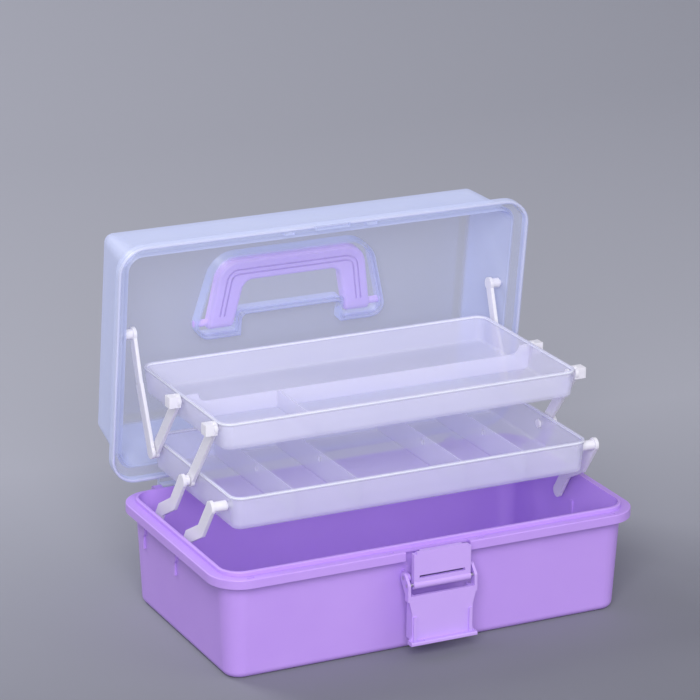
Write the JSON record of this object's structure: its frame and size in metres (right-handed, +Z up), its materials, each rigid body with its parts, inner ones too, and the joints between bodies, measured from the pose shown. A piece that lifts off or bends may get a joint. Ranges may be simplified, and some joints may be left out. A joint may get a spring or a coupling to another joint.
{
  "type": "three layer folding storage box",
  "caption": "Plastic storage box with a hinged frosted lid that lifts cantilever trays on folding arms, with a carrying handle in the lid and a snap latch at the front.",
  "frame": {"origin": "middle of the flat foot under the base", "axes": "+X to the right along the length, +Y to the back, +Z up, the latch faces -Y"},
  "size_m": [0.32, 0.2646, 0.2579],
  "materials": {
    "base_plastic": "satin moulded polypropylene",
    "handle_plastic": "satin moulded polypropylene",
    "latch_plastic": "satin moulded polypropylene",
    "lid_frosted": "frosted translucent polypropylene",
    "tray_frosted": "frosted translucent polypropylene",
    "arm_plastic": "milky white polypropylene",
    "pin_steel": "bright drawn steel wire"
  },
  "bodies": {
    "base": {"base_tub": "base_plastic", "lid_hinge_pin_left": "pin_steel", "lid_hinge_pin_right": "pin_steel", "latch_lever_pin": "pin_steel"},
    "lid": {"lid_shell": "lid_frosted"},
    "handle": {"handle": "handle_plastic"},
    "latch_lever": {"latch_lever": "latch_plastic", "latch_hook_pin": "pin_steel"},
    "latch_hook": {"latch_hook": "latch_plastic"},
    "lower_tray": {"lower_tray": "tray_frosted"},
    "upper_tray": {"upper_tray": "tray_frosted"},
    "lower_arm_front_left": {"lower_arm_front_left": "arm_plastic"},
    "upper_arm_front_left": {"upper_arm_front_left": "arm_plastic"},
    "lower_arm_rear_left": {"lower_arm_rear_left": "arm_plastic"},
    "upper_arm_rear_left": {"upper_arm_rear_left": "arm_plastic"},
    "lid_link_left": {"lid_link_left": "arm_plastic"},
    "lower_arm_front_right": {"lower_arm_front_right": "arm_plastic"},
    "upper_arm_front_right": {"upper_arm_front_right": "arm_plastic"},
    "lower_arm_rear_right": {"lower_arm_rear_right": "arm_plastic"},
    "upper_arm_rear_right": {"upper_arm_rear_right": "arm_plastic"},
    "lid_link_right": {"lid_link_right": "arm_plastic"}
  },
  "joints": [
    {"name": "lid_hinge", "type": "hinge", "parent": "base", "child": "lid", "pos_m": [0, 0.096, 0.0718], "axis": [1, 0, 0], "range_deg": [0, 83]},
    {"name": "handle_pivot", "type": "hinge", "parent": "lid", "child": "handle", "pos_m": [0, 0.14913, 0.17202], "axis": [-1, 0, 0], "range_deg": [0, 90]},
    {"name": "latch_lever_pivot", "type": "hinge", "parent": "base", "child": "latch_lever", "pos_m": [0, -0.09, 0.057], "axis": [-1, 0, 0], "range_deg": [-8, 90]},
    {"name": "latch_hook_pivot", "type": "hinge", "parent": "latch_lever", "child": "latch_hook", "pos_m": [0, -0.095, 0.053], "axis": [-1, 0, 0], "range_deg": [-122, 11]},
    {"name": "lower_arm_front_left_pivot", "type": "hinge", "parent": "base", "child": "lower_arm_front_left", "pos_m": [-0.142, 0.004, 0.06], "axis": [1, 0, 0], "range_deg": [0, 58.3]},
    {"name": "lower_arm_rear_left_pivot", "type": "hinge", "parent": "base", "child": "lower_arm_rear_left", "pos_m": [-0.142, 0.058, 0.06], "axis": [1, 0, 0], "range_deg": [0, 58.3]},
    {"name": "lower_arm_front_right_pivot", "type": "hinge", "parent": "base", "child": "lower_arm_front_right", "pos_m": [0.142, 0.004, 0.06], "axis": [1, 0, 0], "range_deg": [0, 58.3]},
    {"name": "lower_arm_rear_right_pivot", "type": "hinge", "parent": "base", "child": "lower_arm_rear_right", "pos_m": [0.142, 0.058, 0.06], "axis": [1, 0, 0], "range_deg": [0, 58.3]},
    {"name": "lower_tray_pivot", "type": "hinge", "parent": "lower_arm_rear_left", "child": "lower_tray", "pos_m": [0, 0.01, 0.111], "axis": [1, 0, 0], "range_deg": [-58.3, 0]},
    {"name": "upper_arm_front_left_pivot", "type": "hinge", "parent": "lower_tray", "child": "upper_arm_front_left", "pos_m": [-0.138, 0.01, 0.111], "axis": [1, 0, 0], "range_deg": [0, 28.2]},
    {"name": "upper_arm_rear_left_pivot", "type": "hinge", "parent": "lower_tray", "child": "upper_arm_rear_left", "pos_m": [-0.138, 0.071, 0.111], "axis": [1, 0, 0], "range_deg": [0, 28.2]},
    {"name": "upper_arm_front_right_pivot", "type": "hinge", "parent": "lower_tray", "child": "upper_arm_front_right", "pos_m": [0.138, 0.01, 0.111], "axis": [1, 0, 0], "range_deg": [0, 28.2]},
    {"name": "upper_arm_rear_right_pivot", "type": "hinge", "parent": "lower_tray", "child": "upper_arm_rear_right", "pos_m": [0.138, 0.071, 0.111], "axis": [1, 0, 0], "range_deg": [0, 28.2]},
    {"name": "upper_tray_pivot", "type": "hinge", "parent": "upper_arm_front_left", "child": "upper_tray", "pos_m": [0, -0.0286, 0.1605], "axis": [1, 0, 0], "range_deg": [-28.2, 0]},
    {"name": "lid_link_left_pivot", "type": "hinge", "parent": "lid", "child": "lid_link_left", "pos_m": [-0.146, 0.102, 0.188], "axis": [1, 0, 0], "range_deg": [-4.78, 0]},
    {"name": "lid_link_right_pivot", "type": "hinge", "parent": "lid", "child": "lid_link_right", "pos_m": [0.146, 0.102, 0.188], "axis": [1, 0, 0], "range_deg": [-4.78, 0]}
  ],
  "couplings": [
    {"joint": "latch_hook_pivot", "follows": "latch_lever_pivot", "ratio": -1.35},
    {"joint": "lower_arm_front_left_pivot", "follows": "lid_hinge", "ratio": 0.7012},
    {"joint": "lower_arm_rear_left_pivot", "follows": "lid_hinge", "ratio": 0.7012},
    {"joint": "lower_arm_front_right_pivot", "follows": "lid_hinge", "ratio": 0.7012},
    {"joint": "lower_arm_rear_right_pivot", "follows": "lid_hinge", "ratio": 0.7012},
    {"joint": "lower_tray_pivot", "follows": "lid_hinge", "ratio": -0.7012},
    {"joint": "upper_arm_front_left_pivot", "follows": "lid_hinge", "ratio": 0.33855},
    {"joint": "upper_arm_rear_left_pivot", "follows": "lid_hinge", "ratio": 0.33855},
    {"joint": "upper_arm_front_right_pivot", "follows": "lid_hinge", "ratio": 0.33855},
    {"joint": "upper_arm_rear_right_pivot", "follows": "lid_hinge", "ratio": 0.33855},
    {"joint": "upper_tray_pivot", "follows": "lid_hinge", "ratio": -0.33855},
    {"joint": "lid_link_left_pivot", "follows": "lid_hinge", "ratio": -0.056387},
    {"joint": "lid_link_right_pivot", "follows": "lid_hinge", "ratio": -0.056387}
  ]
}
